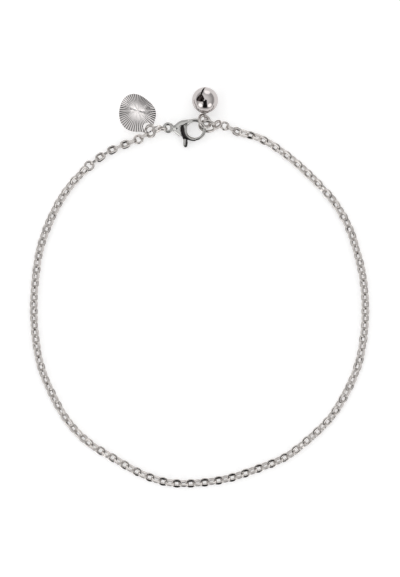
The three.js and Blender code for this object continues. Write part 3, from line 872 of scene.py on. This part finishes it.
def charm_disc(sizes):
    """The disc: the radius grows from the middle to the outline, the upper face sinks by the rays,
    whose depth grows outwards, and broad petals fold the middle; the rim is rounded."""
    points = sizes.flutes * RAY_STEPS
    turn = np.arange(points) / points * TURN
    outline = charm_share(turn, sizes) * sizes.radius
    out = np.linspace(DISC["first"], DISC["last"], DISC["steps"])
    rays = zigzag(turn * sizes.flutes)
    ray_depth = sizes.flute_depth * out * np.clip((out - RAY_START) / RAY_RISE, 0, 1)
    petals = zigzag(turn * PETALS + PETAL_SWAY * np.sin(2 * turn))
    petal_depth = PETAL_DEPTH * np.sin(np.clip(out / PETAL_REACH, 0, 1) * math.pi)
    crown = CROWN * (1 - out**2)
    top = sizes.thickness + crown[:, None] - ray_depth[:, None] * (1 - rays[None, :])
    top = top - petal_depth[:, None] * petals[None, :]
    edge = column(RIM_SECTION, "up")[:, None] * top[-1][None, :]
    under = np.zeros((len(UNDERSIDE), points))
    shares = np.concatenate([out, column(RIM_SECTION, "out"), UNDERSIDE])
    heights = np.concatenate([top, edge, under])
    x = shares[:, None] * (outline * np.cos(turn))[None, :]
    y = shares[:, None] * (outline * np.sin(turn))[None, :]
    return grid_surface("sun_charm_disc", np.stack([x, y, heights], axis=-1)[None], looped=False)


def groove_shade(co, sizes):
    """How much painted shade each point of the disc gets: darkest at the bottom of a ray's groove, fading
    towards the middle and on the rim, and stronger on one side of the disc than on the other."""
    turn = np.arctan2(co[:, 1], co[:, 0])
    out = np.hypot(co[:, 0], co[:, 1]) / (charm_share(turn, sizes) * sizes.radius)
    bottom = 1 - zigzag(turn * sizes.flutes)
    side = np.cos(turn - math.radians(GROOVE_SHADE["turn"]))
    strength = GROOVE_SHADE["mean"] + GROOVE_SHADE["swing"] * side
    upper = co[:, 2] > sizes.thickness / 2
    deepened = np.clip((out - GROOVE_SHADE["start"]) / GROOVE_SHADE["rise"], 0, 1)
    return upper * strength * bottom**GROOVE_SHADE["power"] * deepened


def post(name, centre, radius, low, high, steps=64):
    """An upright round post."""
    turn = np.arange(steps) / steps * TURN
    corners = np.stack([np.cos(turn), np.sin(turn)], axis=-1) * radius + np.array(centre)
    return block(name, corners, low, high)


class ANKLET_OT_charm(bpy.types.Operator):
    """Presses the sunray charm and lays it against its ring, down on its far edge"""

    bl_idname = "anklet.charm"
    bl_label = "Sunray charm"

    def execute(self, context):
        sizes = context.scene.anklet_charm
        disc = charm_disc(sizes)
        reach = HOLE_REACH * sizes.thickness
        hole = post("hole", (-CHARM_HOLE_OUT, 0), sizes.hole / 2, -reach, reach)
        cut_out(disc, [hole])
        axes = laid_axes(CHARM_HEADING, CHARM_CLIMB, CHARM_ROLL)
        node = node_points("sun_charm") @ axes.T
        co = points_of(disc.data)
        # Painted shade in the grooves, stored for the charm's material
        shade(disc, groove_shade(co, sizes))
        corner = (node.min(axis=0) + node.max(axis=0)) / 2
        middle = (co.min(axis=0) + co.max(axis=0)) / 2
        shift = np.array([corner[0] - middle[0], corner[1] - middle[1], node[:, 2].min()])
        move_points(disc, (co + shift) @ axes)
        crease_edges(disc, CHARM_CREASE)
        look = context.scene.anklet_steel
        steel = polished_steel("charm_steel", look, POLISH["charm"], "charm_colour", shaded=True)
        dressed(disc, steel, replaces=["sun_charm"])
        return {"FINISHED"}


# Jingle bell, in its own frame: the bail is at -X and the slit runs over +X between two holes

# How the bell lies, and how far round from its front the slit runs each way, in degrees
BELL_HEADING = 90.0
BELL_ROLL = -22.0
SLIT_REACH = 66.0
# The bail's size, turn, sink into the shell and height of its middle, in millimetres and degrees
BAIL = {"length": 1.75, "width": 1.5, "wire": 0.46, "turn": -64.5, "sink": 0.35, "height": 1.829}
BAIL_BEND_STEPS = 40
BAIL_AROUND = 14
# Outline of each hole at the slit's ends, along and across from its middle
BELL_HOLE = np.array([
    (-0.72, -0.75), (-0.2, -1.0), (0.72, -0.3), (0.72, 0.3), (-0.2, 1.0), (-0.72, 0.75),
]) * MM
BELL_HOLE_STEPS = 48
# How many of the bell's radii the cutters reach
SLIT_OUT = 1.5
BALL_RADIUS = 1.15 * MM
BALL_ROWS = 24
BALL_COLUMNS = 36
POLE_GAP = 0.02


def sphere(name, radius, rows=48, columns=72):
    """A ball whose poles lie on the X axis."""
    fall = np.linspace(POLE_GAP, math.pi - POLE_GAP, rows)
    turn = np.arange(columns) / columns * TURN
    x = np.broadcast_to((radius * np.cos(fall))[:, None], (rows, columns))
    y = (radius * np.sin(fall))[:, None] * np.cos(turn)
    z = (radius * np.sin(fall))[:, None] * np.sin(turn)
    return grid_surface(name, np.stack([x, y, z], axis=-1)[None], looped=False)


def bell_shell(sizes, out):
    """The shell, hollowed and slit between its two holes, with the bail's oval wire that far out."""
    length, width, wire = (BAIL[name] * MM for name in ("length", "width", "wire"))
    bail = oval_wire(length, width, wire, BAIL_BEND_STEPS, BAIL_AROUND)
    bail = bail @ rotation((1, 0, 0), math.radians(BAIL["turn"])).T + np.array([-out, 0, 0])
    shell = sphere("bell_shell", sizes.radius)
    hollow = sphere("hollow", sizes.radius - sizes.wall)
    end = sizes.radius * math.cos(math.radians(SLIT_REACH))
    tall = SLIT_OUT * sizes.radius
    half = sizes.slit / 2
    slit = block("slit", [[end, -half], [tall, -half], [tall, half], [end, half]], -tall, tall)
    hole = block("hole", closed_run(BELL_HOLE, BELL_HOLE_STEPS) + np.array([end, 0]), -tall, tall)
    cut_out(shell, [hollow, slit, hole])
    return joined("bell_shell_and_bail", [shell, grid_surface("bow", bail[None], looped=True)])


class ANKLET_OT_bell(bpy.types.Operator):
    """Makes the jingle bell: a slit shell with its bail, and the loose ball inside"""

    bl_idname = "anklet.bell"
    bl_label = "Jingle bell"

    def execute(self, context):
        sizes = context.scene.anklet_bell
        out = sizes.radius + BAIL["length"] * MM / 2 - BAIL["sink"] * MM
        bell = bell_shell(sizes, out)
        pellet = node_points("bell_pellet").mean(axis=0)
        nodes = node_points("bell")
        middle_x = (nodes[:, 0].min() + nodes[:, 0].max()) / 2
        centre = np.array([middle_x, pellet[1], sizes.radius])
        climb = math.degrees(math.asin((sizes.radius - BAIL["height"] * MM) / out))
        axes = laid_axes(BELL_HEADING, climb, BELL_ROLL)
        move_points(bell, points_of(bell.data) @ axes + centre)
        crease_edges(bell, BELL_CREASE)
        steel = polished_steel("bell_steel", context.scene.anklet_steel, POLISH["bell"], "bell_colour")
        dressed(bell, steel, replaces=["bell"])
        ball = sphere("bell_ball", BALL_RADIUS, BALL_ROWS, BALL_COLUMNS)
        move_points(ball, points_of(ball.data) + pellet)
        dressed(ball, steel, replaces=["bell_pellet"])
        return {"FINISHED"}


# Stage

# Light of the room's walls by height, from the table's level to overhead
WALLS = [
    {"height": 0.0, "light": 0.8}, {"height": 0.1, "light": 0.6}, {"height": 0.3, "light": 0.45},
    {"height": 0.6, "light": 0.75}, {"height": 0.85, "light": 1.0}, {"height": 1.0, "light": 1.05},
]
# How much darker the room is towards +X than overhead, and how much paler towards -X
SIDE_FALL = 0.14
# Pale screens: how far from overhead and towards which heading they hang, and how wide they are
SCREENS = [
    {"fall": 76, "heading": 75, "spread": 16, "soft": 8, "light": 1.1},
    {"fall": 66, "heading": -132, "spread": 13, "soft": 6, "light": 1.3},
    {"fall": 66, "heading": -48, "spread": 13, "soft": 6, "light": 1.3},
]
# The dark camera stand: its half width, where it starts and its foot, how soft each edge is, its light
STAND = {"half_width": 0.28, "start": 0.03, "low": 0.2, "soft": 0.04, "foot_soft": 0.1, "light": 0.012}
# The softbox: its place and size in metres, and its power in watts
SOFTBOX = {"place": (-0.6, 0.25, 0.5), "size": 0.3, "power": 2.0}
# The dark camera over the table: the direction it hangs in, and the cosines of its edge and core
CAMERA_DISC = {"toward": (0.0, -0.07, 0.9975), "edge": 0.986, "core": 0.990}


class ANKLET_OT_stage(bpy.types.Operator):
    """Lays the pale floor, lights it softly and hangs the camera straight above"""

    bl_idname = "anklet.stage"
    bl_label = "Stage"

    def execute(self, context):
        scene = context.scene
        scene.view_settings.view_transform = "Standard"
        half = FLOOR["half"]
        corners = [[-half, -half], [half, -half], [half, half], [-half, half]]
        floor = block("floor", corners, FLOOR["under"], FLOOR["upper"])
        floor.data.materials.append(plain_floor("pale_floor"))
        self.sky(scene)
        self.softbox(scene)
        camera = bpy.data.cameras.new("camera")
        camera.sensor_width = SENSOR
        camera.lens = SENSOR * CAMERA_HEIGHT / (IMAGE_HEIGHT * PIXEL)
        camera.clip_start = CLIP_START
        camera.clip_end = CLIP_END
        above = bpy.data.objects.new("camera", camera)
        above.location = (0, 0, CAMERA_HEIGHT)
        scene.collection.objects.link(above)
        scene.camera = above
        return {"FINISHED"}

    def sky(self, scene):
        """The room round the table: its walls by height and side, pale screens, each the cap of directions
        within a spread of its own, and the dark camera stand, a strip from overhead towards the front."""
        world = bpy.data.worlds.new("studio")
        world.use_nodes = True
        scene.world = world
        nodes, links = world.node_tree.nodes, world.node_tree.links

        def ranged(value, start, end, low, high):
            """A value taken smoothly from one range to another."""
            step = nodes.new("ShaderNodeMapRange")
            step.interpolation_type = "SMOOTHSTEP"
            for name, number in (("From Min", start), ("From Max", end), ("To Min", low), ("To Max", high)):
                step.inputs[name].default_value = number
            links.new(value, step.inputs["Value"])
            return step.outputs["Result"]

        def combined(operation, first, second=None):
            """The outcome of an operation on one or two values."""
            step = nodes.new("ShaderNodeMath")
            step.operation = operation
            links.new(first, step.inputs[0])
            if second is not None:
                links.new(second, step.inputs[1])
            return step.outputs["Value"]

        place = nodes.new("ShaderNodeTexCoord")
        split = nodes.new("ShaderNodeSeparateXYZ")
        links.new(place.outputs["Generated"], split.inputs["Vector"])
        ramp = nodes.new("ShaderNodeValToRGB")
        elements = ramp.color_ramp.elements
        elements.remove(elements[1])
        for number, row in enumerate(WALLS):
            stop = elements[0] if number == 0 else elements.new(row["height"])
            stop.position = row["height"]
            stop.color = (row["light"], row["light"], row["light"], 1)
        links.new(split.outputs["Z"], ramp.inputs["Fac"])
        side = ranged(split.outputs["X"], -1, 1, 1 + SIDE_FALL, 1 - SIDE_FALL)
        light = combined("MULTIPLY", ramp.outputs["Color"], side)
        for row in SCREENS:
            fall, heading = math.radians(row["fall"]), math.radians(row["heading"])
            toward = (math.sin(fall) * math.cos(heading), math.sin(fall) * math.sin(heading), math.cos(fall))
            facing = self.facing(nodes, links, place.outputs["Generated"], toward)
            edge = math.cos(math.radians(row["spread"] + row["soft"]))
            core = math.cos(math.radians(row["spread"]))
            light = combined("ADD", light, ranged(facing, edge, core, 0, row["light"]))
        across = combined("ABSOLUTE", split.outputs["X"])
        dark = ranged(across, STAND["half_width"], STAND["half_width"] + STAND["soft"], 1, 0)
        front = ranged(split.outputs["Y"], -STAND["start"], STAND["soft"] - STAND["start"], 1, 0)
        above = ranged(split.outputs["Z"], STAND["low"], STAND["low"] + STAND["foot_soft"], 0, 1)
        dark = combined("MULTIPLY", combined("MULTIPLY", dark, front), above)
        facing = self.facing(nodes, links, place.outputs["Generated"], CAMERA_DISC["toward"])
        disc = ranged(facing, CAMERA_DISC["edge"], CAMERA_DISC["core"], 0, 1)
        dark = combined("MAXIMUM", dark, disc)
        light = combined("MULTIPLY", light, ranged(dark, 0, 1, 1, STAND["light"]))
        links.new(light, nodes["Background"].inputs["Color"])

    def facing(self, nodes, links, direction, toward):
        """The cosine of the angle between a direction and a fixed one."""
        step = nodes.new("ShaderNodeVectorMath")
        step.operation = "DOT_PRODUCT"
        step.inputs[1].default_value = toward
        links.new(direction, step.inputs[0])
        return step.outputs["Value"]

    def softbox(self, scene):
        """A square light on the left that faces the anklet."""
        light = bpy.data.lights.new("left_softbox", "AREA")
        light.shape = "SQUARE"
        light.size = SOFTBOX["size"]
        light.energy = SOFTBOX["power"]
        box = bpy.data.objects.new("left_softbox", light)
        box.location = SOFTBOX["place"]
        toward = -np.array(SOFTBOX["place"])
        yaw = math.atan2(toward[0], -toward[1])
        box.rotation_euler = (math.atan2(math.hypot(toward[0], toward[1]), -toward[2]), 0, yaw)
        scene.collection.objects.link(box)


class ANKLET_PT_panel(bpy.types.Panel):
    """Lists the steps that build the anklet."""

    bl_idname = "ANKLET_PT_panel"
    bl_label = "Payal Anklet"
    bl_space_type = "VIEW_3D"
    bl_region_type = "UI"
    bl_category = "Anklet"

    def draw(self, context):
        for step in STEPS:
            self.layout.operator(step.bl_idname)
        for group in SETTINGS:
            settings = getattr(context.scene, "anklet_" + group)
            for name in settings.__annotations__:
                self.layout.prop(settings, name)


SETTINGS = {"steel": SteelLook, "chain": ChainSizes, "clasp": ClaspSizes, "charm": CharmSizes,
            "bell": BellSizes}
STEPS = [ANKLET_OT_stage, ANKLET_OT_wire_loops, ANKLET_OT_fine_chain, ANKLET_OT_clasp, ANKLET_OT_charm,
         ANKLET_OT_bell]


def register():
    """Registers the classes and hangs each group of settings on the scene."""
    for cls in (*SETTINGS.values(), *STEPS, ANKLET_PT_panel):
        bpy.utils.register_class(cls)
    for name, cls in SETTINGS.items():
        setattr(bpy.types.Scene, "anklet_" + name, bpy.props.PointerProperty(type=cls))


def unregister():
    """Takes away what register added."""
    for name in SETTINGS:
        delattr(bpy.types.Scene, "anklet_" + name)
    for cls in (ANKLET_PT_panel, *reversed(STEPS), *reversed(list(SETTINGS.values()))):
        bpy.utils.unregister_class(cls)


def main():
    """Registers the add-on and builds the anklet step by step."""
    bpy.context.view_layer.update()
    register()
    bpy.ops.anklet.stage()
    bpy.ops.anklet.wire_loops()
    bpy.ops.anklet.fine_chain()
    bpy.ops.anklet.clasp()
    bpy.ops.anklet.charm()
    bpy.ops.anklet.bell()


if __name__ == "__main__":
    main()
